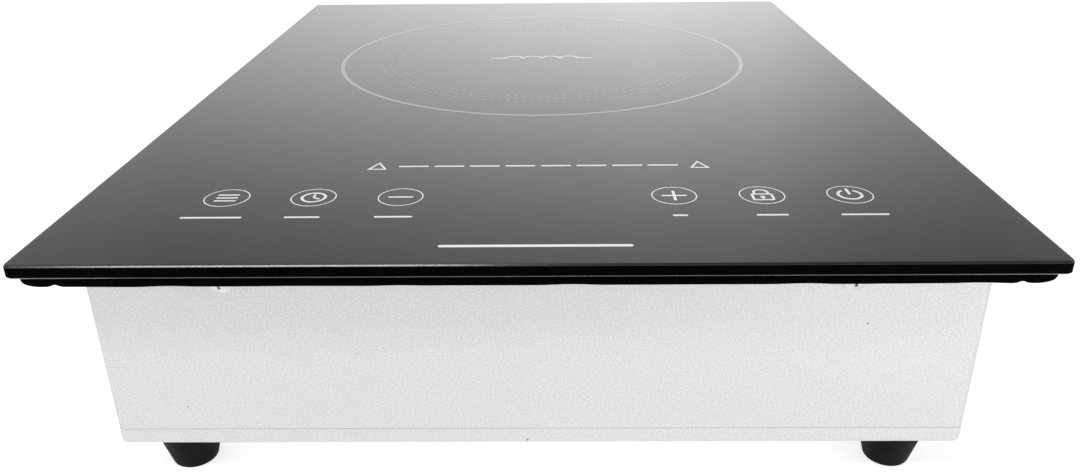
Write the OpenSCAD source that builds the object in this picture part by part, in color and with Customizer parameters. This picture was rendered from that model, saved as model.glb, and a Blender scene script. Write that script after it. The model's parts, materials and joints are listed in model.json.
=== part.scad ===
// Drop-in induction cooktop: a glass top over a shallow sheet-steel housing.
// Millimetres, +Z up, front towards -Y. The origin is at the centre of the glass in plan,
// at the height of the undersides of the feet.

/* [Glass] */
// Width of the glass top, left to right
glass_w = 290; // [286:1:300]
// Depth of the glass top, front to rear
glass_d = 375; // [370:1:390]
// Thickness of the glass
glass_t = 4; // [4:0.5:6]
// Radius of the glass corners in plan
glass_corner_r = 2.5; // [2:0.5:6]
// Bevel ground along the top edge of the glass
top_bevel = 0.5; // [0.4:0.1:1]
// Bevel ground along the bottom edge of the glass
bottom_bevel = 0.5; // [0.3:0.1:1]

/* [Housing] */
// Reach of the glass past the housing wall, on every side
overhang = 13.5; // [13:0.5:15]
// Height from the underside of the base tray to the top of the glass
body_h = 69; // [69:1:80]
// Thickness of the sheet steel
sheet_t = 0.8; // [0.6:0.1:0.9]
// Outside radius of the housing's upright corners
housing_corner_r = 3; // [3:0.5:6]
// Outside radius of the bend along the bottom of the base tray
bend_r = 1.1; // [1:0.1:1.5]
// Height of the base tray's outer rim
tray_rim_h = 5.6; // [5:0.1:7]
// Height that the base tray's inner lip stands above its rim
tray_lip_h = 11; // [9:0.5:13]

/* [Gasket] */
// Width of the foam strips
gasket_w = 10; // [8:0.5:11]
// Thickness of the foam strips
gasket_t = 4.1; // [2:0.1:4.5]
// Distance of the strips in from the edge of the glass
gasket_inset = 2.5; // [1.5:0.5:3]

/* [Feet] */
// Height of the feet
foot_h = 14; // [12:0.5:20]
// Radius of the feet where they meet the base tray
foot_top_r = 10.75; // [8:0.25:11]
// Radius of the feet at the bottom
foot_bottom_r = 7.25; // [5.75:0.25:8]
// Distance of the feet from the centre, left to right
foot_x = 113.8; // [110:0.2:115]
// Distance of the feet from the centre, front to rear
foot_y = 161.5; // [160:0.5:162]

/* [Cooking zone] */
// Distance of the zone's centre behind the centre of the glass
zone_y = 43.3; // [40:0.1:46]
// Radius of the printed zone line
zone_r = 97.75; // [90:0.25:100]
// Radius of the litz winding
winding_r = 84; // [80:1:86]
// Distance that the coil unit can be pushed down from the glass
coil_travel = 3; // [2:0.5:4]

/* [Keys] */
// Distance of the key row behind the front edge of the glass
key_row = 48.3; // [44:0.1:52]
// Distance from the centre to the inner keys
key_inner_x = 43.2; // [40:0.1:46]
// Distance between neighbouring keys
key_pitch = 27.6; // [24:0.1:29]
// Outer radius of the printed key circles
key_r = 7.2; // [6:0.1:9]

/* [Supply inlet] */
// Radius of the bore that the supply cord passes through
inlet_r = 4.8; // [4:0.1:6]
// Distance of the inlet from the centre, to the right
inlet_x = 92; // [80:1:100]

/* [Hidden] */
$fn = 48;

// Heights
z_tray = foot_h;
z_floor = z_tray + sheet_t;
z_seam = z_tray + tray_rim_h;
z_top = z_tray + body_h;
z_glass = z_top - glass_t;
bead_t = 0.8;
z_frame = z_glass - bead_t;

// Housing walls and the frame inside them
wall_w = glass_w - 2 * overhang;
wall_d = glass_d - 2 * overhang;
seam_gap = 0.1;
wall_top = z_glass - 2;
sheet_gap = 0.2;
corner_return = 8;
weld_gap = 0.1;
frame_t = 1;
frame_w = wall_w - 2 * (sheet_t + sheet_gap);
frame_d = wall_d - 2 * (sheet_t + sheet_gap);
frame_flange = 12;
frame_leg = 17;

// Screws: shank, head and the hole that clears the shank
screw_r = 2;
screw_head_r = 3.6;
screw_head_h = 2.2;
screw_hole_r = 2.05;
frame_screw_x = 91;
frame_screw_y = 95;
frame_screw_z = z_top - 11.5;
tray_screw_x = 60;
tray_screw_y = 120;
tray_screw_z = z_seam + 6;

// Vent slots in the housing walls, between the two rows of screws
vent_pitch = 8;
vent_z = (tray_screw_z + frame_screw_z) / 2 - 1;

// Enamel print
ink_t = 0.05;
key_y = key_row - glass_d / 2;
key_xs = [for (s = [-1, 1], i = [0:2]) s * (key_inner_x + (s < 0 ? 2 - i : i) * key_pitch)];
label_y = key_y - 15.7;
notice_y = key_y + 27.7;
accent_y = key_y - 36.6;

// Coil unit, from the glass down
coil_gap = 0.3;
mica_t = 0.6;
wire_r = 2;
turn_pitch = 3.8;
turns = 16;
former_t = 2;
ferrite_t = 5;
carrier_t = 1.5;
z_mica = z_glass - coil_gap - mica_t;
z_winding = z_mica - 0.2 - 2 * wire_r;
z_former = z_winding - former_t;
z_ferrite = z_former - ferrite_t;
z_carrier = z_ferrite - carrier_t;
former_r = winding_r + 7;
carrier_r = former_r - 2;

// Posts that carry the coil unit
post_reach = former_r + 13;
post_angles = [90, 210, 330];
post_pin_r = 3;
post_gap = 0.1;
post_seat_z = z_carrier - coil_travel - 10;

// Fan
fan_x = -70;
fan_y = 104;
fan_size = 92;
fan_h = 25;
fan_hole = 41.25;
fan_bore_r = 44;
fan_hub_r = 18;
fan_shaft_r = 1.5;
fan_shaft_gap = 0.05;
fan_blades = 7;

// Power board
board_w = 158;
board_d = 150;
board_y = -32;
board_t = 1.6;
z_board = z_floor + 7;
z_parts = z_board + board_t;
board_hole_x = board_w / 2 - 5;
board_hole_y = board_d / 2 - 5;
solder_gap = 0.3;

// Touch control board
control_y = key_y;
control_w = 222;
control_d = 44;
z_holder = z_glass - 16.5;
holder_t = 2;
z_control = z_holder + holder_t + 2;
z_keys = z_control + board_t;
leg_x = 92;
leg_dy = 18;
leg_r = 5;

// Supply side
z_inlet = z_floor + 26;
terminal_y = 138;
terminal_pitch = 11;
earth_x = 119;
earth_y = 91;
tag_t = 0.8;

// Points along an arc from angle a to angle b, n steps
function arc(c, r, a, b, n) = [for (i = [0:n])
    c + r * [cos(a + (b - a) * i / n), sin(a + (b - a) * i / n)]];

function unit(v) = v / norm(v);

// A smooth curve through the points p, with n steps between neighbours
function curve(p, n) = concat([for (i = [0:len(p) - 2], j = [0:n - 1])
    let (a = p[max(i - 1, 0)], b = p[i], c = p[i + 1], d = p[min(i + 2, len(p) - 1)], t = j / n)
    b + t / 2 * (c - a + t * (2 * a - 5 * b + 4 * c - d + t * (3 * b - 3 * c + d - a)))],
    [p[len(p) - 1]]);

// Tangent of a run of points at point i
function tangent(p, i) = unit(p[min(i + 1, len(p) - 1)] - p[max(i - 1, 0)]);

// A round wire along the points p. The direction side is never along the wire.
module wire(p, r, sides, side) {
    rings = [for (i = [0:len(p) - 1])
        let (t = tangent(p, i), u = unit(cross(t, side)), v = cross(t, u))
        for (k = [0:sides - 1]) p[i] + r * (cos(360 * k / sides) * u + sin(360 * k / sides) * v)];
    last = (len(p) - 1) * sides;
    polyhedron(rings, concat(
        [[for (k = [0:sides - 1]) k]],
        [for (i = [0:len(p) - 2], k = [0:sides - 1], half = [0, 1])
            let (a = i * sides + k, b = i * sides + (k + 1) % sides)
            half == 0 ? [a, a + sides, b + sides] : [a, b + sides, b]],
        [[for (k = [sides - 1:-1:0]) last + k]]), convexity = 10);
}

// A helical compression spring standing on z = 0
module spring(r, h, wire_r, coils) {
    steps = 12 * coils;
    wire([for (i = [0:steps])
        let (a = 360 * coils * i / steps) [r * cos(a), r * sin(a), wire_r + (h - 2 * wire_r) * i / steps]],
        wire_r, 6, [0, 0, 1]);
}

module round_rect(w, d, r) {
    square([w - 2 * r, d], center = true);
    square([w, d - 2 * r], center = true);
    for (x = [-1, 1], y = [-1, 1])
        translate([x * (w / 2 - r), y * (d / 2 - r)]) circle(r);
}

// A flat ring between two rounded rectangles that lie a border apart
module border(w, d, r, width) {
    difference() {
        round_rect(w, d, r);
        round_rect(w - 2 * width, d - 2 * width, max(r - width, 0.5));
    }
}

// A bar with round ends
module bar(length, width) {
    square([length - width, width], center = true);
    for (s = [-1, 1]) translate([s * (length - width) / 2, 0]) circle(width / 2);
}

module ring(r, line) {
    difference() {
        circle(r);
        circle(r - line);
    }
}

// Runs an edge profile round a rounded rectangle. The profile's x is measured outwards from
// the centre of the corner radius r.
module rim(w, d, r) {
    for (a = [0, 180]) {
        rotate(a) translate([w / 2 - r, 0, 0]) rotate([90, 0, 0])
            linear_extrude(d - 2 * r, center = true) children();
        rotate(a + 90) translate([d / 2 - r, 0, 0]) rotate([90, 0, 0])
            linear_extrude(w - 2 * r, center = true) children();
    }
    for (x = [-1, 1], y = [-1, 1])
        translate([x * (w / 2 - r), y * (d / 2 - r), 0])
            rotate(x > 0 ? (y > 0 ? 0 : 270) : (y > 0 ? 90 : 180))
                rotate_extrude(angle = 90) children();
}

// Places children on the outside of the housing wall, their +Z pointing outwards
module on_sides(y, z) {
    for (s = [-1, 1], t = [-1, 1])
        translate([s * wall_w / 2, t * y, z]) rotate([0, s * 90, 0]) children();
}

module on_rear(x, z) {
    for (s = [-1, 1])
        translate([s * x, wall_d / 2, z]) rotate([-90, 0, 0]) children();
}

module on_front(x, z) {
    for (s = [-1, 1])
        translate([s * x, -wall_d / 2, z]) rotate([90, 0, 0]) children();
}

// Pan-head screw with a cross recess: the head stands on z = 0 and the shank hangs below
module pan_screw(length, r = screw_r, head_r = screw_head_r, head_h = screw_head_h) {
    dome_r = 6;
    difference() {
        union() {
            translate([0, 0, -length]) cylinder(r = r, h = length);
            intersection() {
                cylinder(r = head_r, h = head_h);
                translate([0, 0, head_h - dome_r]) sphere(dome_r);
            }
        }
        for (a = [0, 90])
            rotate(a) translate([0, 0, head_h]) cube([head_r, 0.9, 2.2], center = true);
    }
}

// Hole through sheet at z = 0, for a screw or a slot cut
module sheet_hole(r) {
    translate([0, 0, -6]) cylinder(r = r, h = 12);
}

// ---------------------------------------------------------------- glass and its print

module glass_edge() {
    polygon([[0, 0], [glass_corner_r - bottom_bevel, 0], [glass_corner_r, bottom_bevel],
        [glass_corner_r, glass_t - top_bevel], [glass_corner_r - top_bevel, glass_t], [0, glass_t]]);
}

module glass_top() {
    color([0.03, 0.03, 0.035]) translate([0, 0, z_glass]) {
        rim(glass_w, glass_d, glass_corner_r) glass_edge();
        translate([0, 0, glass_t / 2])
            cube([glass_w - 2 * glass_corner_r, glass_d - 2 * glass_corner_r, glass_t], center = true);
    }
}

// Enamel of the given 2D shape on the top of the glass
module ink() {
    color("white") translate([0, 0, z_top]) linear_extrude(ink_t) children();
}

// A circle of evenly spaced dots
module dotted_ring(r, count) {
    dot_r = 0.65;
    for (i = [0:count - 1])
        rotate(90 + 360 * i / count) translate([r, 0]) circle(dot_r);
}

// Zone line with three dotted rings inside it, all at one dot spacing
module print_zone() {
    dot_pitch = 3.45;
    ink() translate([0, zone_y]) {
        ring(zone_r, 1.8);
        for (r = zone_r * [0.8, 0.755, 0.71])
            dotted_ring(r, round(2 * PI * r / dot_pitch));
    }
}

// Winding symbol in the middle of the zone: four loops between two leads
module print_zone_symbol() {
    line = 1.6;
    loop_r = 5.3;
    loop_pitch = 9;
    lead = 7;
    ink() translate([0, zone_y - loop_r / 2]) {
        for (i = [-1.5:1:1.5])
            translate([i * loop_pitch, 0]) intersection() {
                ring(loop_r, line);
                translate([-loop_r, 0]) square([2 * loop_r, loop_r]);
            }
        for (s = [-1, 1])
            translate([s * (2 * loop_pitch + lead / 2), line / 2]) square([lead, line], center = true);
    }
}

module glyph_menu() {
    for (y = [-1, 0, 1]) translate([0, 2.4 * y]) bar(7, 0.9);
}

module glyph_clock() {
    ring(4.1, 0.85);
    translate([0, 1.1]) rotate(90) bar(3, 0.7);
    rotate(-35) translate([1.1, 0]) bar(3, 0.7);
}

module glyph_minus() {
    bar(8.1, 0.9);
}

module glyph_plus() {
    bar(8.1, 0.9);
    rotate(90) bar(8.1, 0.9);
}

module glyph_lock() {
    line = 0.8;
    translate([0, -1.5]) {
        border(7, 5.5, 1, line);
        circle(0.8);
        translate([0, -0.8]) square([0.7, 1.6], center = true);
    }
    translate([0, 2.2]) difference() {
        ring(2.6, line);
        translate([-3, -3]) square([6, 3]);
    }
    for (s = [-1, 1]) translate([s * 2.2, 1.7]) square([line, 1.2], center = true);
}

module glyph_power() {
    difference() {
        ring(4.1, 0.9);
        polygon([[0, 0], [-2.6, 5], [2.6, 5]]);
    }
    translate([0, 2.6]) rotate(90) bar(5, 0.9);
}

// Six touch keys: a circle and a glyph each
module print_keys() {
    ink() {
        for (x = key_xs) translate([x, key_y]) ring(key_r, 0.38);
        translate([key_xs[0], key_y]) glyph_menu();
        translate([key_xs[1], key_y]) glyph_clock();
        translate([key_xs[2], key_y]) glyph_minus();
        translate([key_xs[3], key_y]) glyph_plus();
        translate([key_xs[4], key_y]) glyph_lock();
        translate([key_xs[5], key_y]) glyph_power();
    }
}

// Plain bars: one under each key, a broken line with a triangle at each end, and one in front
module print_dashes() {
    label_w = [18.8, 10.9, 11.7, 4.6, 9.7, 14.4];
    dashes = 8;
    dash_pitch = 12.2;
    triangle_x = 55;
    triangle = [[-3.4, -2.9], [3.4, -2.9], [0, 4.1]];
    hollow = [[-2.3, -2.2], [2.3, -2.2], [0, 2.6]];
    ink() {
        for (i = [0:5]) translate([key_xs[i], label_y]) bar(label_w[i], 1.1);
        for (i = [0:dashes - 1])
            translate([(i - (dashes - 1) / 2) * dash_pitch, notice_y]) bar(dash_pitch - 1.8, 1.1);
        for (s = [-1, 1]) translate([s * triangle_x, notice_y]) difference() {
            polygon(triangle);
            polygon(hollow);
        }
        translate([0, accent_y]) bar(54.8, 1.5);
    }
}

// ---------------------------------------------------------------- gasket, bead and frame

// A foam strip of the given length along x, its outer lower edge towards -Y
module foam_strip(length) {
    soft_r = 1.2;
    rotate([90, 0, 90]) linear_extrude(length, center = true) union() {
        translate([0, soft_r]) square([gasket_w, gasket_t - soft_r]);
        translate([soft_r, 0]) square([gasket_w - 2 * soft_r, gasket_t]);
        for (x = [soft_r, gasket_w - soft_r]) translate([x, soft_r]) circle(soft_r);
    }
}

// The strips lie under the glass: the front and rear ones run past the ends of the side ones
module end_strip() {
    color([0.05, 0.05, 0.05]) translate([0, gasket_inset - glass_d / 2, z_glass - gasket_t])
        foam_strip(glass_w - 2 * gasket_inset);
}

module side_strip() {
    joint = 0.1;
    color([0.05, 0.05, 0.05]) rotate(90) translate([0, gasket_inset - glass_w / 2, z_glass - gasket_t])
        foam_strip(glass_d - 2 * (gasket_inset + gasket_w + joint));
}

module gasket_front() {
    end_strip();
}

module gasket_rear() {
    rotate(180) end_strip();
}

module gasket_left() {
    rotate(180) side_strip();
}

module gasket_right() {
    side_strip();
}

// Silicone bead between the glass and the frame's flange
module glass_adhesive() {
    color([0.16, 0.16, 0.17]) translate([0, 0, z_frame])
        linear_extrude(bead_t) border(frame_w - 2, frame_d - 2, 2, 8);
}

// Angle frame: a flange under the glass and a leg inside the housing wall
module glass_frame() {
    color([0.7, 0.71, 0.72]) difference() {
        union() {
            translate([0, 0, z_frame - frame_t]) linear_extrude(frame_t)
                border(frame_w, frame_d, 2, frame_flange);
            translate([0, 0, z_frame - frame_leg]) linear_extrude(frame_leg)
                border(frame_w, frame_d, 2, frame_t);
        }
        on_front(frame_screw_x, frame_screw_z) sheet_hole(screw_hole_r);
        on_rear(frame_screw_x, frame_screw_z) sheet_hole(screw_hole_r);
        on_sides(frame_screw_y, frame_screw_z) sheet_hole(screw_hole_r);
    }
}

// ---------------------------------------------------------------- housing

// An upright vent slot through sheet at z = 0
module wall_slot() {
    translate([0, 0, -3]) linear_extrude(6) rotate(90) bar(26, 3.2);
}

// Stands a panel outline up from the seam to just under the glass
module panel() {
    color([0.86, 0.87, 0.87]) difference() {
        translate([0, 0, z_seam + seam_gap]) linear_extrude(wall_top - z_seam - seam_gap) children(0);
        children(1);
    }
}

// Outline of the wall all round, in plan
module wall_outline() {
    border(wall_w, wall_d, housing_corner_r, sheet_t);
}

// Bent round both front corners
module front_panel() {
    panel() {
        intersection() {
            wall_outline();
            translate([0, -wall_d / 2]) square([wall_w + 2, 2 * corner_return], center = true);
        }
        on_front(frame_screw_x, frame_screw_z) sheet_hole(screw_hole_r);
    }
}

// Flat, between the returns of the side panels
module rear_panel() {
    inlet_hole_r = inlet_r + 3.2;
    panel() {
        translate([0, (wall_d - sheet_t) / 2])
            square([wall_w - 2 * (corner_return + weld_gap), sheet_t], center = true);
        union() {
            on_rear(frame_screw_x, frame_screw_z) sheet_hole(screw_hole_r);
            on_rear(tray_screw_x, tray_screw_z) sheet_hole(screw_hole_r);
            for (i = [-4:4])
                translate([i * vent_pitch, wall_d / 2, vent_z]) rotate([90, 0, 180]) wall_slot();
            translate([inlet_x, wall_d / 2, z_inlet]) rotate([90, 0, 0]) sheet_hole(inlet_hole_r);
        }
    }
}

// Left (s = -1) or right (s = 1) panel: starts behind the front panel's return and is bent round
// the rear corner
module side_panel(s) {
    panel() {
        intersection() {
            wall_outline();
            translate([s * wall_w / 2, corner_return + weld_gap])
                square([2 * corner_return, wall_d], center = true);
        }
        union() {
            on_sides(frame_screw_y, frame_screw_z) sheet_hole(screw_hole_r);
            on_sides(tray_screw_y, tray_screw_z) sheet_hole(screw_hole_r);
            for (i = [-10:1])
                translate([s * wall_w / 2, i * vent_pitch, vent_z]) rotate([90, 0, s * 90]) wall_slot();
        }
    }
}

module left_panel() {
    side_panel(-1);
}

module right_panel() {
    side_panel(1);
}

// Cross-section of the tray's edge: floor, bend, outer rim, and a lip set in behind the wall
module tray_edge() {
    r = housing_corner_r;
    lip_x = r - 2 * sheet_t - sheet_gap;
    difference() {
        union() {
            square([r - bend_r, tray_rim_h]);
            translate([0, bend_r]) square([r, tray_rim_h - bend_r]);
            translate([r - bend_r, bend_r]) circle(bend_r);
        }
        translate([0, sheet_t]) {
            square([r - bend_r, tray_rim_h]);
            translate([0, bend_r - sheet_t]) square([r - sheet_t, tray_rim_h]);
            translate([r - bend_r, bend_r - sheet_t]) circle(bend_r - sheet_t);
        }
    }
    translate([lip_x, tray_rim_h - sheet_t]) square([2 * sheet_t + sheet_gap, sheet_t]);
    translate([lip_x, tray_rim_h - sheet_t]) square([sheet_t, tray_lip_h + sheet_t]);
}

// Screw places in the tray's floor
module at_feet() {
    for (x = [-1, 1], y = [-1, 1]) translate([x * foot_x, y * foot_y, z_tray]) children();
}

module at_fan_corners() {
    for (x = [-1, 1], y = [-1, 1])
        translate([fan_x + x * fan_hole, fan_y + y * fan_hole, z_tray]) children();
}

module at_legs() {
    for (x = [-1, 1], y = [-1, 1])
        translate([x * leg_x, control_y + y * leg_dy, z_tray]) children();
}

// Rows of short slots inside a circle, under the fan
module intake_slots() {
    reach = 40;
    for (i = [-4:4]) {
        row = sqrt(reach * reach - 64 * i * i);
        for (s = [-1, 1])
            translate([s * (row / 2 + 1), 8 * i]) bar(row - 2, 3.2);
    }
}

module base_tray() {
    collar_r = 3.4;
    collar_h = 2;
    color([0.86, 0.87, 0.87]) difference() {
        union() {
            translate([0, 0, z_tray]) {
                rim(wall_w, wall_d, housing_corner_r) tray_edge();
                translate([0, 0, sheet_t / 2]) cube([wall_w - 2 * housing_corner_r,
                    wall_d - 2 * housing_corner_r, sheet_t], center = true);
            }
            at_feet() cylinder(r = collar_r, h = sheet_t + collar_h);
        }
        at_feet() sheet_hole(screw_hole_r);
        at_fan_corners() sheet_hole(screw_hole_r);
        at_legs() sheet_hole(screw_hole_r);
        translate([earth_x, earth_y, z_floor]) sheet_hole(screw_hole_r);
        on_rear(tray_screw_x, tray_screw_z) sheet_hole(screw_hole_r);
        on_sides(tray_screw_y, tray_screw_z) sheet_hole(screw_hole_r);
        translate([fan_x, fan_y, z_tray - 1]) linear_extrude(sheet_t + 2) intake_slots();
    }
}

// Short screws: through the panels into the frame and the tray's lip, and one on the earth tag
module housing_screws() {
    color([0.8, 0.8, 0.8]) {
        on_front(frame_screw_x, frame_screw_z) pan_screw(8);
        on_rear(frame_screw_x, frame_screw_z) pan_screw(8);
        on_sides(frame_screw_y, frame_screw_z) pan_screw(8);
        on_rear(tray_screw_x, tray_screw_z) pan_screw(8);
        on_sides(tray_screw_y, tray_screw_z) pan_screw(8);
        translate([earth_x, earth_y, z_floor + tag_t]) pan_screw(4);
    }
}

// Long screws from under the tray: into the fan's corners and the holder's legs
module floor_screws() {
    color([0.8, 0.8, 0.8]) {
        at_fan_corners() rotate([180, 0, 0]) pan_screw(12);
        at_legs() rotate([180, 0, 0]) pan_screw(12);
    }
}

// Tapered rubber foot with a recess for its screw
module foot() {
    edge_r = 1.2;
    recess_r = 3.9;
    recess_h = 6;
    color([0.06, 0.06, 0.06]) rotate_extrude() polygon(concat(
        [[recess_r, recess_h], [recess_r, 0]],
        arc([foot_bottom_r - edge_r, edge_r], edge_r, -90, -12, 6),
        [[foot_top_r, foot_h], [screw_hole_r, foot_h], [screw_hole_r, recess_h]]));
}

module foot_front_left() {
    translate([-foot_x, -foot_y, 0]) foot();
}

module foot_front_right() {
    translate([foot_x, -foot_y, 0]) foot();
}

module foot_rear_left() {
    translate([-foot_x, foot_y, 0]) foot();
}

module foot_rear_right() {
    translate([foot_x, foot_y, 0]) foot();
}

// The heads sit in the recesses of the feet
module foot_screws() {
    color([0.8, 0.8, 0.8]) for (x = [-1, 1], y = [-1, 1])
        translate([x * foot_x, y * foot_y, 6]) rotate([180, 0, 0]) pan_screw(foot_h - 6 + 4);
}

// ---------------------------------------------------------------- supply

// Bushing that snaps into the rear wall: flange outside, barrel and snap ring inside
module cord_bushing() {
    flange_r = inlet_r + 6.2;
    barrel_r = inlet_r + 3.1;
    color([0.08, 0.08, 0.08]) translate([inlet_x, wall_d / 2, z_inlet]) rotate([-90, 0, 0])
        rotate_extrude() polygon([[inlet_r, -7], [barrel_r - 0.6, -7], [barrel_r + 0.7, -2.4],
            [barrel_r + 0.7, -sheet_t - 0.1], [barrel_r, -sheet_t - 0.1], [barrel_r, 0], [flange_r, 0],
            [flange_r, 2], [flange_r - 1, 3], [barrel_r + 0.4, 3.4], [barrel_r - 0.6, 10],
            [inlet_r, 10]]);
}

// Three-way screw terminal on the floor, in line with the inlet
module terminal_block() {
    w = 36;
    d = 20;
    h = 15;
    color([0.9, 0.9, 0.88]) translate([inlet_x, terminal_y, z_floor]) difference() {
        translate([0, 0, h / 2]) cube([w, d, h], center = true);
        for (i = [-1:1]) translate([i * terminal_pitch, 0, 0]) {
            translate([0, 0, 8]) cylinder(r = 2.6, h = h);
            translate([0, -d, 5]) rotate([-90, 0, 0]) cylinder(r = 2.2, h = 2 * d);
        }
        for (i = [-0.5, 0.5]) translate([i * terminal_pitch, 0, h - 1]) cube([1.2, d + 2, 4], center = true);
    }
}

// Live and neutral to the power board, earth to a ring tag on the floor
module supply_leads() {
    lead_r = 1.5;
    y0 = terminal_y - 11;
    z0 = z_floor + 5;
    crimp_y = earth_y + 13;
    crimp_z = z_floor + 2.3;
    color([0.2, 0.2, 0.22]) for (i = [0, 1])
        wire(curve([[inlet_x + (i - 1) * terminal_pitch, y0, z0],
            [inlet_x + (i - 1) * terminal_pitch, y0 - 14, z0],
            [103 + 7 * i, 85, z0], [103 + 7 * i, 20, z0], [103 + 7 * i, -50, z0],
            [97 + 3 * i, -84 - 7 * i, z0 + 5], [84, -88 - 7 * i, z_parts + 9],
            [73, -88 - 7 * i, z_parts + 8], [71, -88 - 7 * i, z_parts + 4],
            [71, -88 - 7 * i, z_parts + solder_gap]], 4), lead_r, 8, [0.3, 1, 0.5]);
    color([0.2, 0.5, 0.2])
        wire(curve([[inlet_x + terminal_pitch, y0, z0], [inlet_x + terminal_pitch, y0 - 9, z0],
            [inlet_x + terminal_pitch + 8, y0 - 16, z0 - 1.5], [earth_x, crimp_y + 3, crimp_z],
            [earth_x, crimp_y, crimp_z]], 4), lead_r, 8, [0, 0, 1]);
    color([0.8, 0.8, 0.78]) difference() {
        union() {
            translate([earth_x, earth_y, z_floor]) cylinder(r = 3.9, h = tag_t);
            translate([earth_x - 1.8, earth_y, z_floor]) cube([3.6, 9, tag_t]);
            translate([earth_x, crimp_y, crimp_z]) rotate([90, 0, 0]) cylinder(r = 2.1, h = 6);
        }
        translate([earth_x, earth_y, z_floor]) sheet_hole(screw_hole_r);
    }
}

// ---------------------------------------------------------------- fan

// Square axial fan lying on the floor over the intake slots
module fan_frame() {
    plate_t = 4;
    tube_r = 3;
    color([0.1, 0.1, 0.11]) translate([fan_x, fan_y, z_floor]) {
        difference() {
            union() {
                for (z = [0, fan_h - plate_t])
                    translate([0, 0, z]) linear_extrude(plate_t) round_rect(fan_size, fan_size, 5);
                cylinder(r = fan_size / 2, h = fan_h);
            }
            translate([0, 0, -1]) cylinder(r = fan_bore_r, h = fan_h + 2);
            for (x = [-1, 1], y = [-1, 1])
                translate([x * fan_hole, y * fan_hole, -1]) cylinder(r = screw_hole_r, h = fan_h + 2);
        }
        difference() {
            union() {
                for (a = [30, 150, 270])
                    rotate(a) translate([tube_r, -2, 0]) cube([fan_bore_r - tube_r + 1, 4, 3]);
                cylinder(r = fan_hub_r - 1, h = 2.5);
                cylinder(r = tube_r, h = 16);
            }
            translate([0, 0, 1]) cylinder(r = fan_shaft_r + fan_shaft_gap, h = 16);
        }
    }
}

// Stator core and its four coils round the bearing tube
module fan_stator() {
    color([0.75, 0.45, 0.2]) translate([fan_x, fan_y, z_floor + 5]) {
        difference() {
            cylinder(r = 7, h = 10);
            translate([0, 0, -1]) cylinder(r = 3.1, h = 12);
        }
        for (a = [45:90:315]) rotate(a) {
            translate([6, -2, 3]) cube([7.2, 4, 4]);
            translate([7.5, -3.2, 1.8]) cube([4.2, 6.4, 6.4]);
        }
    }
}

// A flat blade at a slant, from inside the hub to past the tip circle
module fan_blade(tip_r) {
    pitch = 33;
    chord = 28;
    blade_t = 1.4;
    translate([6, 0, 0]) rotate([pitch, 0, 0]) translate([0, -chord / 2, -blade_t / 2])
        cube([tip_r, chord, blade_t]);
}

// Hub cup, blades and shaft
module fan_rotor() {
    tip_r = fan_bore_r - 1.2;
    cup_t = 2;
    base = 4.6;
    top = fan_h - 1;
    color([0.16, 0.16, 0.18]) translate([fan_x, fan_y, z_floor]) {
        difference() {
            union() {
                translate([0, 0, base]) cylinder(r = fan_hub_r, h = top - base);
                intersection() {
                    translate([0, 0, (base + top) / 2]) for (i = [0:fan_blades - 1])
                        rotate(i * 360 / fan_blades) fan_blade(tip_r);
                    translate([0, 0, base]) cylinder(r = tip_r, h = top - base);
                }
            }
            translate([0, 0, base - 1]) cylinder(r = fan_hub_r - 2, h = top - base - cup_t + 1);
        }
        translate([0, 0, 2.8]) cylinder(r = fan_shaft_r, h = top - cup_t - 2.8 + 0.5);
    }
}

// Two-core lead from the fan to the power board
module fan_lead() {
    color([0.7, 0.15, 0.1]) for (i = [0, 1])
        wire(curve([[fan_x + 12 + 2.4 * i, fan_y - 46.8, z_floor + 12],
            [fan_x + 13 + 2.4 * i, fan_y - 54, z_floor + 13],
            [fan_x + 14 + 2.4 * i, fan_y - 61, z_floor + 14],
            [fan_x + 14 + 2.4 * i, fan_y - 64, z_parts + 3],
            [fan_x + 14 + 2.4 * i, fan_y - 64, z_parts + solder_gap]], 4), 0.9, 8, [1, 0, 0]);
}

// ---------------------------------------------------------------- power board

// Places for standoffs and screws, on the board's corners
module at_board_holes(z) {
    for (x = [-1, 1], y = [-1, 1])
        translate([x * board_hole_x, board_y + y * board_hole_y, z]) children();
}

module power_board() {
    color([0.75, 0.62, 0.35]) difference() {
        translate([0, board_y, z_board + board_t / 2]) cube([board_w, board_d, board_t], center = true);
        at_board_holes(z_board) sheet_hole(1.6);
    }
}

// Hexagonal spacers on the floor
module board_standoffs() {
    color([0.8, 0.8, 0.78]) at_board_holes(z_floor) difference() {
        cylinder(r = 3.4, h = z_board - z_floor, $fn = 6);
        translate([0, 0, 1]) cylinder(r = 1.55, h = z_board - z_floor, $fn = 32);
    }
}

module board_screws() {
    color([0.8, 0.8, 0.8]) at_board_holes(z_parts) pan_screw(6, 1.5, 2.9, 1.8);
}

// Extruded aluminium: a flat back on four legs with upright fins
module heat_sink() {
    w = 90;
    d = 50;
    back_z = 6;
    back_t = 4;
    fin_h = 25;
    fins = 13;
    color([0.8, 0.8, 0.82]) translate([-30, 12, z_parts]) {
        translate([-w / 2, -d / 2, back_z]) cube([w, d, back_t]);
        for (i = [0:fins - 1])
            translate([-w / 2 + i * (w - 1.5) / (fins - 1), -d / 2, back_z + back_t])
                cube([1.5, d, fin_h]);
        for (x = [-1, 1], y = [-1, 1])
            translate([x * (w / 2 - 3), y * (d / 2 - 3), 0]) cylinder(r = 1.5, h = back_z);
    }
}

// A flat package under the heat sink, with its legs towards the front
module power_package(w, d, t, legs, leg_pitch) {
    translate([-w / 2, -d / 2, 0]) cube([w, d, t]);
    for (i = [0:legs - 1])
        translate([(i - (legs - 1) / 2) * leg_pitch - 0.6, -d / 2 - 6, 1.2]) cube([1.2, 6, 0.6]);
}

module igbt() {
    color([0.12, 0.12, 0.12]) translate([-50, 12, z_parts + 0.5]) power_package(15.6, 20, 5.2, 3, 5.4);
}

module bridge_rectifier() {
    color([0.12, 0.12, 0.12]) translate([-12, 12, z_parts + 0.5]) power_package(30, 20, 5.2, 4, 7.5);
}

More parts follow.
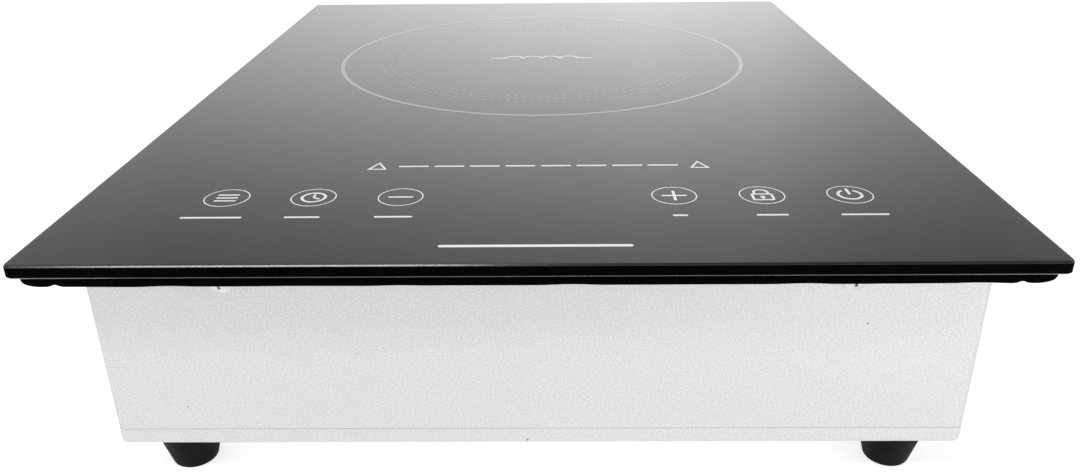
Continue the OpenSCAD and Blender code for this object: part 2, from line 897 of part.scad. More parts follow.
// A boxed film capacitor
module film_capacitor(w, d, h) {
    translate([-w / 2, -d / 2, 0]) cube([w, d, h]);
}

module bus_capacitor() {
    color([0.85, 0.75, 0.3]) translate([48, 18, z_parts]) film_capacitor(42, 20, 30);
}

module resonant_capacitor() {
    color([0.3, 0.4, 0.7]) translate([48, -12, z_parts]) film_capacitor(42, 18, 28);
}

module filter_capacitor() {
    color([0.85, 0.75, 0.3]) translate([-52, -52, z_parts]) film_capacitor(26, 12, 22);
}

// Toroid of round section, lying flat
module choke_core() {
    color([0.2, 0.3, 0.22]) translate([-12, -62, z_parts + 7.8])
        rotate_extrude() translate([13, 0]) circle(5.4);
}

// Two groups of turns round the toroid
module choke_winding() {
    color([0.75, 0.4, 0.15]) translate([-12, -62, z_parts + 7.8])
        for (s = [0, 180], i = [-4:4])
            rotate(s + i * 15) translate([13, 0, 0]) rotate([90, 0, 0])
                rotate_extrude() translate([6.4, 0]) circle(0.85);
}

// Laminated core with its bobbin
module aux_transformer() {
    color([0.35, 0.35, 0.38]) translate([40, -62, z_parts]) {
        translate([-15, -12, 2]) cube([30, 24, 22]);
        translate([-9, -15, 4]) cube([18, 30, 18]);
        for (x = [-7.5, 7.5], y = [-13, 13]) translate([x, y, 0]) cylinder(r = 0.6, h = 5);
    }
}

// Glass tube with end caps in spring clips
module fuse() {
    color([0.8, 0.8, 0.75]) translate([48, -96, z_parts + 6]) {
        rotate([0, 90, 0]) cylinder(r = 2.3, h = 20, center = true);
        for (s = [-1, 1]) translate([s * 8, 0, 0]) {
            rotate([0, 90, 0]) cylinder(r = 2.6, h = 5, center = true);
            translate([-1.5, -3.4, -6]) cube([3, 6.8, 5]);
        }
    }
}

// ---------------------------------------------------------------- touch controls

module control_board() {
    color([0.1, 0.35, 0.2]) translate([0, control_y, z_control + board_t / 2])
        cube([control_w, control_d, board_t], center = true);
}

// Moulded holder: a rimmed plate with bosses under the board and four legs to the floor
module control_holder() {
    rim_t = 2;
    rim_h = 7;
    boss = 2;
    w = control_w + 2 * rim_t + 1;
    d = control_d + 2 * rim_t + 1;
    color([0.22, 0.22, 0.24]) difference() {
        union() {
            translate([0, control_y, z_holder]) {
                linear_extrude(holder_t) round_rect(w, d, 3);
                linear_extrude(rim_h) border(w, d, 3, rim_t);
                for (x = [-96, -48, 0, 48, 96], y = [-16, 16])
                    translate([x, y, 0]) cylinder(r = 2.5, h = holder_t + boss);
            }
            at_legs() translate([0, 0, sheet_t]) cylinder(r = leg_r, h = z_holder - z_floor + 1);
        }
        at_legs() translate([0, 0, sheet_t - 1]) cylinder(r = screw_hole_r, h = 16);
        // Gap in the rear rim for the ribbon cable
        translate([0, control_y + d / 2, z_holder + holder_t + 4]) cube([28, 8, 8], center = true);
    }
}

// A contact spring under every key, from the board up to the glass
module touch_springs() {
    color([0.8, 0.7, 0.4]) for (x = key_xs)
        translate([x, key_y, z_keys]) spring(4.4, z_glass - z_keys - 0.1, 0.35, 5);
}

// Two-digit display on the board, just under the glass
module led_display() {
    color([0.85, 0.85, 0.85]) translate([0, control_y, z_keys]) {
        translate([-13, -7, 2]) cube([26, 14, z_glass - z_keys - 2.6]);
        for (x = [-10, -5, 0, 5, 10], y = [-5.5, 5.5]) translate([x, y, 0]) cylinder(r = 0.4, h = 3);
    }
}

module buzzer() {
    color([0.08, 0.08, 0.08]) translate([20, control_y + 10, z_keys]) difference() {
        cylinder(r = 6, h = 7);
        translate([0, 0, 5]) cylinder(r = 1.2, h = 3);
    }
}

// Flat cable from the rear of the control board down to the front of the power board
module ribbon_cable() {
    w = 16;
    t = 0.9;
    y1 = control_y + control_d / 2 - 4;
    y2 = board_y - board_d / 2 + 6;
    color([0.6, 0.6, 0.62]) {
        for (p = [[y1, z_keys], [y2, z_parts]])
            translate([-w / 2 - 2, p[0] - 3, p[1]]) cube([w + 4, 6, 4]);
        translate([-w / 2, 0, 0]) rotate([90, 0, 90]) linear_extrude(w) polygon([
            [y1 + 3, z_keys + 1.5], [y1 + 12, z_keys + 1.5], [y2, z_parts + 14], [y2, z_parts + 4],
            [y2 + t, z_parts + 4], [y2 + t, z_parts + 14.3], [y1 + 12.6, z_keys + 1.5 + t],
            [y1 + 3, z_keys + 1.5 + t]]);
    }
}

// ---------------------------------------------------------------- coil unit

module at_posts() {
    for (a = post_angles)
        translate([post_reach * cos(a), zone_y + post_reach * sin(a), 0]) rotate(a) children();
}

// Aluminium plate with three ears that slide on the posts
module coil_carrier() {
    ear_r = 9;
    color([0.78, 0.79, 0.8]) translate([0, 0, z_carrier]) linear_extrude(carrier_t) difference() {
        union() {
            translate([0, zone_y]) circle(carrier_r);
            at_posts() {
                circle(ear_r);
                translate([-25, -ear_r]) square([25, 2 * ear_r]);
            }
        }
        at_posts() circle(post_pin_r + post_gap);
        translate([0, zone_y]) circle(5);
        for (a = [0:45:315])
            translate([0, zone_y]) rotate(a + 22.5) translate([62, 0]) circle(9);
    }
}

module ferrite_bars() {
    inner = 28;
    color([0.2, 0.2, 0.22]) translate([0, zone_y, z_ferrite]) for (a = [0:45:315])
        rotate(a) translate([inner, -6, 0]) cube([winding_r - inner, 12, ferrite_t]);
}

// Moulded disc with rims inside and outside the winding, on pegs that reach the carrier
module coil_former() {
    rim_h = 2 * wire_r + former_t;
    color([0.15, 0.15, 0.16]) translate([0, zone_y, z_former]) difference() {
        union() {
            linear_extrude(former_t) difference() {
                circle(former_r);
                circle(14);
            }
            linear_extrude(rim_h) {
                ring(former_r, 2);
                ring(21, 2);
            }
            for (a = [0:90:270])
                rotate(a + 22.5) translate([36, 0, -ferrite_t]) cylinder(r = 2.5, h = ferrite_t + 1);
        }
        // Gap in the outer rim for the winding's outer end
        rotate(262) translate([former_r, 0, former_t + 3]) cube([10, 8, 6], center = true);
    }
}

// Flat spiral of litz wire, as closed turns side by side
module coil_winding() {
    color([0.75, 0.45, 0.2]) translate([0, zone_y, z_winding + wire_r])
        rotate_extrude($fn = 96) for (i = [0:turns - 1])
            translate([winding_r - wire_r - i * turn_pitch, 0]) circle(wire_r);
}

module mica_sheet() {
    color([0.85, 0.82, 0.72]) translate([0, zone_y, z_mica]) linear_extrude(mica_t)
        ring(winding_r + 3, winding_r - 11);
}

// Stem in the middle of the coil that holds the sensor up to the glass
module sensor_holder() {
    color([0.9, 0.9, 0.88]) translate([0, zone_y, z_ferrite]) {
        difference() {
            cylinder(r = 9, h = 8);
            translate([0, 0, -1]) cylinder(r = 4, h = 12);
        }
    }
}

module glass_sensor() {
    color([0.8, 0.8, 0.82]) translate([0, zone_y, z_ferrite + 2]) {
        cylinder(r = 3.9, h = z_glass - coil_gap - z_ferrite - 3.2);
        translate([0, 0, 6.2]) cylinder(r = 6.5, h = z_glass - coil_gap - z_ferrite - 8.2);
    }
}

// Posts on the floor: a foot, a stem with a spring seat, and a pin for the carrier's ear
module coil_posts() {
    pin_top = z_carrier + carrier_t + 5;
    color([0.75, 0.75, 0.76]) at_posts() difference() {
        union() {
            translate([0, 0, z_floor]) cylinder(r = 6, h = 1.5);
            translate([0, 0, z_floor]) cylinder(r = 4.5, h = post_seat_z - z_floor);
            translate([0, 0, post_seat_z - 1.5]) cylinder(r = 7.5, h = 1.5);
            translate([0, 0, post_seat_z - 1]) cylinder(r = post_pin_r, h = pin_top - post_seat_z + 1);
        }
        translate([0, 0, pin_top - 8]) cylinder(r = 1.55, h = 9);
    }
}

module coil_springs() {
    color([0.7, 0.7, 0.7]) at_posts() translate([0, 0, post_seat_z + 0.05])
        spring(4.8, z_carrier - post_seat_z - 0.1, 0.6, 5);
}

// Screws in the tops of the posts keep the coil unit on when the glass is off
module post_screws() {
    color([0.8, 0.8, 0.8]) at_posts() translate([0, 0, z_carrier + carrier_t + 5])
        pan_screw(6, 1.5, 4.4, 1.8);
}

// The winding's outer and inner ends, down to the power board
module coil_leads() {
    out = 262;
    in = 247.5;
    out_r = winding_r + 0.4;
    down = z_carrier - 6;
    color([0.75, 0.45, 0.2]) translate([0, zone_y, 0]) {
        wire(curve([
            [out_r * cos(out), out_r * sin(out), z_winding + wire_r],
            [(former_r + 2) * cos(out), (former_r + 2) * sin(out), z_winding + wire_r],
            [(former_r + 8) * cos(out), (former_r + 8) * sin(out), z_winding - 4],
            [(former_r + 8) * cos(out), (former_r + 8) * sin(out), down - 10],
            [18, -former_r - 4, z_parts + 12], [18, -former_r - 4, z_parts + 5],
            [18, -former_r - 4, z_parts + solder_gap]], 4),
            wire_r - 0.3, 8, [1, 0.1, 0]);
        wire(curve([
            [26 * cos(in), 26 * sin(in), z_former - 2.2], [60 * cos(in), 60 * sin(in), z_former - 2.2],
            [(former_r + 2) * cos(in), (former_r + 2) * sin(in), z_former - 2.2],
            [(former_r + 8) * cos(in), (former_r + 8) * sin(in), z_former - 6],
            [(former_r + 8) * cos(in), (former_r + 8) * sin(in), down - 10],
            [-34, -former_r - 4, z_parts + 12], [-34, -former_r - 4, z_parts + 5],
            [-34, -former_r - 4, z_parts + solder_gap]], 4),
            wire_r - 0.3, 8, [1, -0.4, 0]);
    }
}

glass_top();
print_zone();
print_zone_symbol();
print_keys();
print_dashes();
gasket_front();
gasket_rear();
gasket_left();
gasket_right();
glass_adhesive();
glass_frame();
front_panel();
rear_panel();
left_panel();
right_panel();
base_tray();
housing_screws();
foot_front_left();
foot_front_right();
foot_rear_left();
foot_rear_right();
foot_screws();
cord_bushing();
terminal_block();
supply_leads();
fan_frame();
fan_stator();
fan_rotor();
floor_screws();
fan_lead();
power_board();
board_standoffs();
board_screws();
heat_sink();
igbt();
bridge_rectifier();
bus_capacitor();
resonant_capacitor();
filter_capacitor();
choke_core();
choke_winding();
aux_transformer();
fuse();
control_board();
control_holder();
touch_springs();
led_display();
buzzer();
ribbon_cable();
coil_carrier();
ferrite_bars();
coil_former();
coil_winding();
mica_sheet();
sensor_holder();
glass_sensor();
coil_posts();
coil_springs();
post_screws();
coil_leads();
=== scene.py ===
"""Looks of the drop-in induction cooktop: the CAD frame gets its materials, the glass and the foam gasket
are modelled in detail, the coil's springs and leads are copied as pieces of their own, and the scene round
them is a plain studio."""

import json
import math

import bpy
from mathutils import Matrix, Vector, noise


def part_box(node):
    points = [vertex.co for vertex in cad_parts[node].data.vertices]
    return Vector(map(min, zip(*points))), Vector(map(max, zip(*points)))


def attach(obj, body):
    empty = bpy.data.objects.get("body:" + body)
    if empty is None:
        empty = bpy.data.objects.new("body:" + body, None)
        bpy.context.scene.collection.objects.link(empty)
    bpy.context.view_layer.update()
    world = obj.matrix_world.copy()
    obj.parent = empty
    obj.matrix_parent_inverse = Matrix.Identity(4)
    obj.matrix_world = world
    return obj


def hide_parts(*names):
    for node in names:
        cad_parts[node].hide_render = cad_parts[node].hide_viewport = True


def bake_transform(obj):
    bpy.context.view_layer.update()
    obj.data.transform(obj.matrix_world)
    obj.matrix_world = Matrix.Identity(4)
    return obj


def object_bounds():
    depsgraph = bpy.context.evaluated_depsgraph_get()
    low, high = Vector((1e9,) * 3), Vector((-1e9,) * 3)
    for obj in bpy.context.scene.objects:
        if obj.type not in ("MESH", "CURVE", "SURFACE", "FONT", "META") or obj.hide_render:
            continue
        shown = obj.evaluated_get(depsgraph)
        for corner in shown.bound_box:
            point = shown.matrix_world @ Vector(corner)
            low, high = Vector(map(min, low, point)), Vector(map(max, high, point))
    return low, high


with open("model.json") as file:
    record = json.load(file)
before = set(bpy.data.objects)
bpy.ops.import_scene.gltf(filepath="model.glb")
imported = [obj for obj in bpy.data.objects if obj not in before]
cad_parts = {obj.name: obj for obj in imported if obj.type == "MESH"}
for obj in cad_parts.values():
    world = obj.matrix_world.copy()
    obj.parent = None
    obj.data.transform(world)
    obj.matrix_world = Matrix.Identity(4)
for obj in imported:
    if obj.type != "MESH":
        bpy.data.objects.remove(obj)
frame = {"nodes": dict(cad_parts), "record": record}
cad_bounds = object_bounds()

MM = 0.001
LEVEL, BEVEL, UPRIGHT = range(3)  # the bands of the glass, by material index


# ------------------------------------------------------------------ materials

def new_material(name, **sockets):
    """A Principled material. Returns it with its nodes, its links and its shader."""
    made = bpy.data.materials.new(name)
    made.use_nodes = True
    tree = made.node_tree
    shader = tree.nodes["Principled BSDF"]
    for socket, value in sockets.items():
        shader.inputs[socket.replace("_", " ")].default_value = value
    return made, tree.nodes, tree.links, shader


def grey(value):
    return (value, value, value)


def colour(rgb):
    return (*rgb, 1.0)


def place(nodes):
    """Object coordinates, in metres."""
    return nodes.new("ShaderNodeTexCoord").outputs["Object"]


def noise_at(nodes, links, size, detail=3.0, roughness=0.5):
    """Noise whose blotches are about size metres across."""
    node = nodes.new("ShaderNodeTexNoise")
    node.inputs["Scale"].default_value = 1 / size
    node.inputs["Detail"].default_value = detail
    node.inputs["Roughness"].default_value = roughness
    links.new(place(nodes), node.inputs["Vector"])
    return node.outputs["Fac"]


def cells_at(nodes, links, size, output="Color", feature="F1"):
    """Voronoi cells about size metres across."""
    node = nodes.new("ShaderNodeTexVoronoi")
    node.feature = feature
    node.inputs["Scale"].default_value = 1 / size
    links.new(place(nodes), node.inputs["Vector"])
    return node.outputs[output]


def spread(nodes, links, fac, low, high, start=0.3, stop=0.7):
    """Maps fac from start..stop to low..high."""
    node = nodes.new("ShaderNodeMapRange")
    for socket, value in (("From Min", start), ("From Max", stop), ("To Min", low), ("To Max", high)):
        node.inputs[socket].default_value = value
    links.new(fac, node.inputs["Value"])
    return node.outputs["Result"]


def mixed(nodes, links, fac, a, b, mode="MIX"):
    """Colour a to b by fac. Each may be a colour, a number or another node's output."""
    node = nodes.new("ShaderNodeMix")
    node.data_type = "RGBA"
    node.blend_type = mode
    for index, value in ((0, fac), (6, a), (7, b)):
        if isinstance(value, bpy.types.NodeSocket):
            links.new(value, node.inputs[index])
        else:
            node.inputs[index].default_value = value
    return node.outputs[2]


def bump(nodes, links, shader, height, distance):
    node = nodes.new("ShaderNodeBump")
    node.inputs["Strength"].default_value = 1.0
    node.inputs["Distance"].default_value = distance
    links.new(height, node.inputs["Height"])
    links.new(node.outputs["Normal"], shader.inputs["Normal"])


def mottled(name, dark, light, size, rough, grain=None, **sockets):
    """Colour wanders from dark to light and roughness between two values, in blotches of size metres.
    grain is (size, height) of a fine bump."""
    made, nodes, links, shader = new_material(name, **sockets)
    blotch = spread(nodes, links, noise_at(nodes, links, size), 0, 1)
    links.new(mixed(nodes, links, blotch, colour(dark), colour(light)), shader.inputs["Base Color"])
    rough_size = 1.7 * size
    wear = noise_at(nodes, links, rough_size)
    links.new(spread(nodes, links, wear, *rough), shader.inputs["Roughness"])
    if grain:
        grain_size, grain_height = grain
        bump(nodes, links, shader, noise_at(nodes, links, grain_size), grain_height)
    return made


def black_glass():
    """Polished glass-ceramic: very dark, with the faintest smears."""
    made, nodes, links, shader = new_material("black_glass", IOR=1.5)
    darkest, palest = colour((0.004, 0.004, 0.005)), colour((0.007, 0.007, 0.008))
    tint = noise_at(nodes, links, 60 * MM)
    links.new(mixed(nodes, links, tint, darkest, palest), shader.inputs["Base Color"])
    smear = noise_at(nodes, links, 35 * MM, detail=5.0, roughness=0.6)
    links.new(spread(nodes, links, smear, 0.03, 0.07), shader.inputs["Roughness"])
    return made


def ground_glass():
    """The bevels: ground and only half polished."""
    made, nodes, links, shader = new_material("ground_glass", IOR=1.5)
    darkest, palest = colour(grey(0.004)), colour(grey(0.012))
    grind = noise_at(nodes, links, 0.8 * MM, detail=4.0)
    links.new(mixed(nodes, links, grind, darkest, palest), shader.inputs["Base Color"])
    links.new(spread(nodes, links, grind, 0.16, 0.24), shader.inputs["Roughness"])
    return made


def glass_edge():
    """The upright edge between the bevels: dull and almost without a reflection."""
    return mottled("glass_edge", grey(0.0004), grey(0.001), 4 * MM, (0.5, 0.6),
                   Specular_IOR_Level=0.01)


def enamel(name, value, rough, grain=None):
    """Fired print of the given brightness. The thin grey prints keep the gloss of the glass."""
    shade, wear = 0.04, 0.2
    return mottled(name, grey(value * (1 - shade)), grey(value * (1 + shade)), 3 * MM,
                   (rough * (1 - wear), rough * (1 + wear)), grain)


def galvanised_steel():
    """Zinc-coated sheet: the faintest spangle, a fine speckle and a few tiny dark specks."""
    made, nodes, links, shader = new_material("galvanised_steel", Metallic=0.55)
    spangle = spread(nodes, links, cells_at(nodes, links, 5 * MM), 0.985, 1.0, 0.0, 1.0)
    fine = noise_at(nodes, links, 0.6 * MM, detail=5.0, roughness=0.7)
    speckle = spread(nodes, links, fine, 0.77, 1.15)
    cloud = spread(nodes, links, noise_at(nodes, links, 90 * MM), 0.98, 1.0)
    zinc = colour((0.6, 0.613, 0.607))
    for layer in (spangle, speckle, cloud):
        zinc = mixed(nodes, links, 1.0, zinc, layer, "MULTIPLY")
    # The specks, as shares of their cells' size: solid inside core and gone outside rim
    core, rim = 0.01, 0.022
    speck = spread(nodes, links, cells_at(nodes, links, 22 * MM, "Distance"), 1, 0, core, rim)
    links.new(mixed(nodes, links, speck, zinc, colour(grey(0.2))), shader.inputs["Base Color"])
    sheen = spread(nodes, links, noise_at(nodes, links, 5 * MM), 0.42, 0.52)
    links.new(sheen, shader.inputs["Roughness"])
    bump(nodes, links, shader, noise_at(nodes, links, 0.8 * MM), 0.02 * MM)
    return made


def foam():
    """Closed-cell foam: matt black with small open pores on its skin, their pits painted darker as painted
    shade.
    """
    made, nodes, links, shader = new_material("foam", Roughness=0.95, Specular_IOR_Level=0.01)
    darkest, palest = colour(grey(0.0004)), colour(grey(0.0016))
    pores = cells_at(nodes, links, 0.5 * MM, "Distance")
    # Painted shade: the pits of the pores, low in the bump, are painted darker than the walls between them.
    painted_pit_shade = spread(nodes, links, pores, 0, 1, 0.1, 0.5)
    links.new(mixed(nodes, links, painted_pit_shade, darkest, palest), shader.inputs["Base Color"])
    bump(nodes, links, shader, pores, 0.12 * MM)
    return made


def laminate():
    """Circuit board: green mask with paler tracks."""
    made, nodes, links, shader = new_material("circuit_board", Roughness=0.35)
    mask, paler = colour((0.015, 0.09, 0.035)), colour((0.05, 0.2, 0.08))
    to_edge = cells_at(nodes, links, 5 * MM, "Distance", "DISTANCE_TO_EDGE")
    track = spread(nodes, links, to_edge, 1, 0, 0.02, 0.06)
    links.new(mixed(nodes, links, track, mask, paler), shader.inputs["Base Color"])
    return made


def wound_copper():
    """Enamelled copper strands, painted darker in the grooves between them as painted shade."""
    made, nodes, links, shader = new_material("copper_winding", Metallic=0.8, Roughness=0.38)
    darkest, palest = colour((0.40, 0.15, 0.05)), colour((0.72, 0.34, 0.15))
    strand = noise_at(nodes, links, 0.7 * MM, detail=1.0)
    # Painted shade: the colour follows the strand bump, darker in its low grooves between the strands.
    shade = spread(nodes, links, strand, 0, 1)
    links.new(mixed(nodes, links, shade, darkest, palest), shader.inputs["Base Color"])
    bump(nodes, links, shader, strand, 0.15 * MM)
    return made


def make_materials():
    """One material for every slot in the record."""
    metal = {"Metallic": 1.0}
    # Fine bumps, each as (size, height)
    satin = (0.3 * MM, 0.01 * MM)
    moulded = (0.6 * MM, 0.02 * MM)
    return {
        "black_glass": black_glass(),
        "white_enamel": enamel("white_enamel", 0.84, 0.38, (0.4 * MM, 0.01 * MM)),
        "symbol_ink": enamel("symbol_ink", 0.5, 0.08),
        "zone_ink": enamel("zone_ink", 0.24, 0.06),
        "foam": foam(),
        "galvanised_steel": galvanised_steel(),
        "circuit_board": laminate(),
        "copper_winding": wound_copper(),
        "silicone": mottled("silicone", grey(0.03), grey(0.05), 9 * MM, (0.45, 0.6)),
        "zinc_screw": mottled("zinc_screw", grey(0.55), grey(0.7), 2 * MM, (0.25, 0.4), satin, **metal),
        "foot_rubber": mottled("foot_rubber", grey(0.002), grey(0.004), 6 * MM, (0.55, 0.7),
                               (0.5 * MM, 0.03 * MM), Specular_IOR_Level=0.08),
        "black_nylon": mottled("black_nylon", grey(0.012), grey(0.02), 12 * MM, (0.4, 0.5), moulded),
        "pale_nylon": mottled("pale_nylon", (0.66, 0.65, 0.58), (0.74, 0.73, 0.66), 8 * MM, (0.35, 0.5),
                              moulded),
        "lead_jacket": mottled("lead_jacket", (0.10, 0.012, 0.010), (0.16, 0.02, 0.016), 10 * MM,
                               (0.4, 0.5)),
        "heat_sink_aluminium": mottled("heat_sink_aluminium", grey(0.68), grey(0.78), 5 * MM, (0.3, 0.42),
                                       satin, **metal),
        "component_black": mottled("component_black", grey(0.012), grey(0.02), 4 * MM, (0.45, 0.6),
                                   (0.3 * MM, 0.02 * MM)),
        "component_yellow": mottled("component_yellow", (0.62, 0.42, 0.05), (0.7, 0.5, 0.08), 12 * MM,
                                    (0.25, 0.35)),
        "component_blue": mottled("component_blue", (0.03, 0.08, 0.3), (0.05, 0.12, 0.4), 12 * MM,
                                  (0.25, 0.35)),
        "ferrite": mottled("ferrite", grey(0.03), grey(0.06), 2 * MM, (0.6, 0.75), (0.3 * MM, 0.03 * MM)),
        "core_steel": mottled("core_steel", grey(0.05), grey(0.12), 3 * MM, (0.35, 0.5),
                              (0.5 * MM, 0.05 * MM)),
        "plated_clip": mottled("plated_clip", (0.55, 0.53, 0.48), (0.7, 0.68, 0.62), 3 * MM, (0.2, 0.35),
                               **metal),
        "spring_steel": mottled("spring_steel", grey(0.4), grey(0.55), 2 * MM, (0.25, 0.4), **metal),
        "display_case": mottled("display_case", grey(0.6), grey(0.66), 6 * MM, (0.3, 0.4)),
        "ribbon": mottled("ribbon", grey(0.3), grey(0.38), 2 * MM, (0.4, 0.5)),
        "mica": mottled("mica", (0.5, 0.45, 0.32), (0.62, 0.57, 0.44), 3 * MM, (0.35, 0.55),
                        (1 * MM, 0.03 * MM)),
    }


def paint(obj, look):
    obj.data.materials.clear()
    obj.data.materials.append(look)


# ------------------------------------------------------------------ modelled pieces

def new_piece(name, verts, faces, slot_looks, node):
    """A smooth mesh that stands for a CAD node of the housing. Its looks are picked by material_index."""
    mesh = bpy.data.meshes.new(name)
    mesh.from_pydata(verts, [], faces)
    mesh.shade_smooth()
    for look in slot_looks:
        mesh.materials.append(look)
    piece = bpy.data.objects.new(name, mesh)
    bpy.context.scene.collection.objects.link(piece)
    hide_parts(node)
    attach(piece, "housing")
    return piece


def rounded_rectangle(half_w, half_d, radius, steps):
    """Points round a rounded rectangle, anticlockwise, steps to a corner."""
    points = []
    for corner, (sx, sy) in enumerate(((1, 1), (-1, 1), (-1, -1), (1, -1))):
        for i in range(steps + 1):
            a = math.radians(90 * (corner + i / steps))
            points.append((sx * (half_w - radius) + radius * math.cos(a),
                           sy * (half_d - radius) + radius * math.sin(a)))
    return points


def soften(profile, radius):
    """Rounds every inner corner of an open outline with a short arc-like curve."""
    steps = 3
    soft = [profile[0]]
    for before, corner, after in zip(profile, profile[1:], profile[2:]):
        a = corner + (before - corner).normalized() * radius
        b = corner + (after - corner).normalized() * radius
        for i in range(steps + 1):
            t = i / steps
            soft.append(a.lerp(corner, t).lerp(corner.lerp(b, t), t))
    soft.append(profile[-1])
    return soft


def band_kind(below, above):
    """Whether a band of the glass is level, upright or a bevel between the two."""
    slight = 0.3
    run, rise = abs(above.x - below.x), above.y - below.y
    if rise < slight * run:
        return LEVEL
    return UPRIGHT if run < slight * rise else BEVEL


def glass_slab(polished, ground, dull):
    """The glass with its two bevels, every edge just broken."""
    low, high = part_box("glass_top")
    half_w, half_d, thick = (high - low).x / 2, (high - low).y / 2, (high - low).z
    corner_r, corner_steps, bevel = 2.5 * MM, 10, 0.5 * MM
    edge_r, support = 0.08 * MM, 1.0 * MM
    outline = [Vector(p) for p in (
        (bevel + support, 0), (bevel, 0), (0, bevel),
        (0, thick - bevel), (bevel, thick), (bevel + support, thick))]
    outline = soften(outline, edge_r)
    verts, rings = [], []
    for inset, z in outline:
        loop = rounded_rectangle(half_w - inset, half_d - inset, corner_r - inset, corner_steps)
        rings.append(range(len(verts), len(verts) + len(loop)))
        verts += [(x, y, low.z + z) for x, y in loop]
    count = len(rings[0])
    faces, kinds = [tuple(reversed(rings[0])), tuple(rings[-1])], [LEVEL, LEVEL]
    for k, (below, above) in enumerate(zip(rings, rings[1:])):
        for i in range(count):
            j = (i + 1) % count
            faces.append((below[i], below[j], above[j], above[i]))
            kinds.append(band_kind(outline[k], outline[k + 1]))
    slab = new_piece("glass_slab", verts, faces, (polished, ground, dull), "glass_top")
    slab.data.polygons.foreach_set("material_index", kinds)


def round_end(distance, reach):
    """1 at the very end of a strip, falling to 0 along a quarter circle at reach."""
    return 1 - math.sqrt(1 - max(0.0, 1 - distance / reach) ** 2)


def foam_section(width, thick):
    """Cross-section of a strip as (across, up): flat on top, with both lower edges soft."""
    corner, steps = 1.2 * MM, 5
    section = [(width / 2, thick)]
    for sign, start in ((1, 0), (-1, 90)):
        for i in range(steps + 1):
            a = math.radians(start + 90 * i / steps)
            section.append((sign * (width / 2 - corner) + corner * math.cos(a),
                            corner * (1 - math.sin(a))))
    return section + [(-width / 2, thick)]


def foam_strip(node, look, seed):
    """A foam strip in the space of a CAD strip: flat against the glass and a little wavy underneath, with
    round ends and a pinch near each end where the strips butt."""
    low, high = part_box(node)
    size = high - low
    along = 0 if size.x > size.y else 1
    across = 1 - along
    length, width, thick = size[along], size[across], size.z
    middle = (high[across] + low[across]) / 2
    stations = 220
    nose, nose_lift = 6 * MM, 0.6 * thick
    tip, tip_narrowing = 2 * MM, 0.3
    notch_at, notch_w, notch_h = 9.5 * MM, 1.3 * MM, 0.7 * MM
    wave_length, wave_height = 16 * MM, 0.5 * MM
    sway_length, sway_width = 22 * MM, 0.25 * MM
    wave_plane, sway_plane = 7, 0
    section = foam_section(width, thick)

    verts, faces = [], []
    for k in range(stations + 1):
        t = k / stations
        # Stations lie closer together towards the ends
        s = length * (t - math.sin(2 * math.pi * t) / (2 * math.pi))
        end = min(s, length - s)
        wave = wave_height * noise.noise(Vector((s / wave_length, seed, wave_plane)))
        lift = max(0.0, wave) + notch_h * math.exp(-((end - notch_at) / notch_w) ** 2)
        lift = max(lift, nose_lift * round_end(end, nose))
        sway = sway_width * noise.noise(Vector((s / sway_length, seed, sway_plane)))
        narrow = 1 - tip_narrowing * round_end(end, tip)
        for u, v in section:
            down = 1 - v / thick
            p = Vector((0, 0, low.z + v + lift * down))
            p[along] = low[along] + s
            p[across] = middle + u * narrow + sway * down
            verts.append(p)
    row = len(section)
    for k in range(stations):
        for i in range(row):
            j = (i + 1) % row
            a, b = k * row + i, k * row + j
            faces.append((a, b, b + row, a + row))
    faces.append(tuple(range(row - 1, -1, -1)))
    faces.append(tuple(range(stations * row, stations * row + row)))
    if along == 1:
        faces = [tuple(reversed(f)) for f in faces]
    new_piece("foam_" + node.split("_")[1], verts, faces, (look,), node)


def flexing(node, look):
    """A copy of a CAD spring or lead in the given look, standing in for the CAD node, which it hides."""
    piece = bpy.data.objects.new(node + "_flexing", frame["nodes"][node].data.copy())
    bpy.context.scene.collection.objects.link(piece)
    paint(piece, look)
    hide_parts(node)
    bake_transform(piece)


def smooth_round_faces(obj):
    """Shades a CAD node smooth across its round faces and keeps its true edges sharp."""
    widest_facet_turn = math.radians(25)
    obj.data.shade_smooth()
    obj.data.set_sharp_from_angle(angle=widest_facet_turn)


# ------------------------------------------------------------------ studio

def aim(obj, target):
    obj.rotation_euler = (Vector(target) - obj.location).to_track_quat("-Z", "Y").to_euler()


def softbox(name, location, target, size, power):
    light = bpy.data.lights.new(name, "AREA")
    light.shape = "RECTANGLE"
    light.size, light.size_y = size
    light.energy = power
    lamp = bpy.data.objects.new(name, light)
    lamp.location = location
    lamp.visible_camera = False
    bpy.context.scene.collection.objects.link(lamp)
    aim(lamp, target)


def graded(nodes, links, value, stops, full_scale):
    """Looks value up in stops, pairs of (value, level), and returns level over full_scale. Beyond the stops
    the level stays that of the nearest one."""
    start, end = stops[0][0], stops[-1][0]
    ramp = nodes.new("ShaderNodeValToRGB")
    links.new(spread(nodes, links, value, 0, 1, start, end), ramp.inputs["Fac"])
    elements = ramp.color_ramp.elements
    while len(elements) < len(stops):
        elements.new(0.5)
    for element, (at, level) in zip(elements, stops):
        element.position = (at - start) / (end - start)
        element.color = colour(grey(level / full_scale))
    return ramp.outputs["Color"]


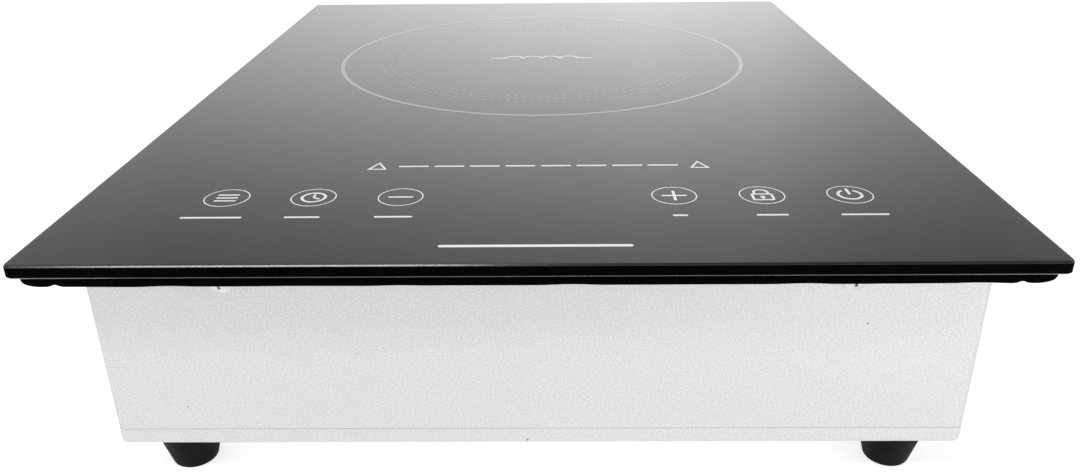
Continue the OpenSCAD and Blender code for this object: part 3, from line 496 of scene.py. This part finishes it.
def studio_world():
    """A soft bright dome: brightest low down in the middle, dimmer to both sides and dim overhead."""
    world = bpy.data.worlds.new("studio")
    world.use_nodes = True
    nodes, links = world.node_tree.nodes, world.node_tree.links
    background = nodes["Background"]
    split = nodes.new("ShaderNodeSeparateXYZ")
    links.new(nodes.new("ShaderNodeTexCoord").outputs["Generated"], split.inputs[0])
    top_height, top_side = 1.8, 1.06
    by_height = ((0.0, top_height), (0.2, 1.78), (0.26, 1.65), (0.33, 1.36), (0.4, 1.05), (0.46, 0.82),
                 (0.55, 1.1), (0.74, 1.1), (0.84, 0.4), (1.0, 0.35))
    by_side = ((-1.0, 0.55), (-0.38, 0.58), (-0.2, 0.8), (-0.05, 0.97), (0.1, top_side), (0.22, 0.95),
               (0.32, 0.68), (0.42, 0.5), (1.0, 0.5))
    height = graded(nodes, links, split.outputs["Z"], by_height, top_height)
    side = graded(nodes, links, split.outputs["X"], by_side, top_side)
    links.new(mixed(nodes, links, 1.0, height, side, "MULTIPLY"), background.inputs["Color"])
    background.inputs["Strength"].default_value = top_height * top_side
    bpy.context.scene.world = world


def studio_floor(z):
    """A wide pale floor that glows a little, so that shadows on it stay faint."""
    half = 30.0
    corners = [(-half, -half, z), (half, -half, z), (half, half, z), (-half, half, z)]
    mesh = bpy.data.meshes.new("floor")
    mesh.from_pydata(corners, [], [(0, 1, 2, 3)])
    floor = bpy.data.objects.new("floor", mesh)
    bpy.context.scene.collection.objects.link(floor)
    made, nodes, links, shader = new_material("studio_floor", Roughness=0.9)
    darkest, palest = colour(grey(0.53)), colour(grey(0.57))
    cloud = noise_at(nodes, links, 0.8)
    links.new(mixed(nodes, links, cloud, darkest, palest), shader.inputs["Base Color"])
    shader.inputs["Emission Color"].default_value = colour(grey(1.0))
    shader.inputs["Emission Strength"].default_value = 0.7
    paint(floor, made)


def studio_camera():
    """Stands in front of the cooktop and looks down on it."""
    low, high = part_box("glass_top")
    before, above, aside = 221.8 * MM, 110.2 * MM, 4.5 * MM
    pitch, yaw, roll = 24.384, 0.790, -0.613
    data = bpy.data.cameras.new("camera")
    data.sensor_width = 36
    data.lens = 30.76
    data.shift_y = -0.005
    data.clip_start = 0.01
    camera = bpy.data.objects.new("camera", data)
    bpy.context.scene.collection.objects.link(camera)
    turn = Matrix.Rotation(math.radians(yaw), 4, "Z")
    turn @= Matrix.Rotation(math.radians(90 - pitch), 4, "X")
    turn @= Matrix.Rotation(math.radians(roll), 4, "Z")
    camera.matrix_world = Matrix.Translation((aside, low.y - before, high.z + above)) @ turn
    bpy.context.scene.camera = camera


# ------------------------------------------------------------------ the scene

looks = make_materials()
for part in frame["record"]["subparts"]:
    node = frame["nodes"][part["node"]]
    paint(node, looks[part["material_slot"]])
    smooth_round_faces(node)

glass_slab(looks["black_glass"], ground_glass(), glass_edge())
SEED_STEP = 3.7  # gives every strip waves of its own
for order, node in enumerate(("gasket_front", "gasket_rear", "gasket_left", "gasket_right")):
    foam_strip(node, looks["foam"], order * SEED_STEP)
flexing("coil_springs", looks["spring_steel"])
flexing("coil_leads", looks["copper_winding"])

FLOOR_GAP = 0.05 * MM  # keeps the floor out of the plane of the feet
studio_world()
studio_floor(cad_bounds[0].z - FLOOR_GAP)
studio_camera()
softbox("strip", location=(-0.53, -0.79, 1.3), target=(-0.53, -0.19, 0.08), size=(0.76, 0.25), power=11)
softbox("fill", location=(0.55, -0.7, 0.042), target=(0.08, -0.17, 0.04), size=(0.6, 0.07), power=1.5)
bpy.context.scene.view_settings.view_transform = "Standard"
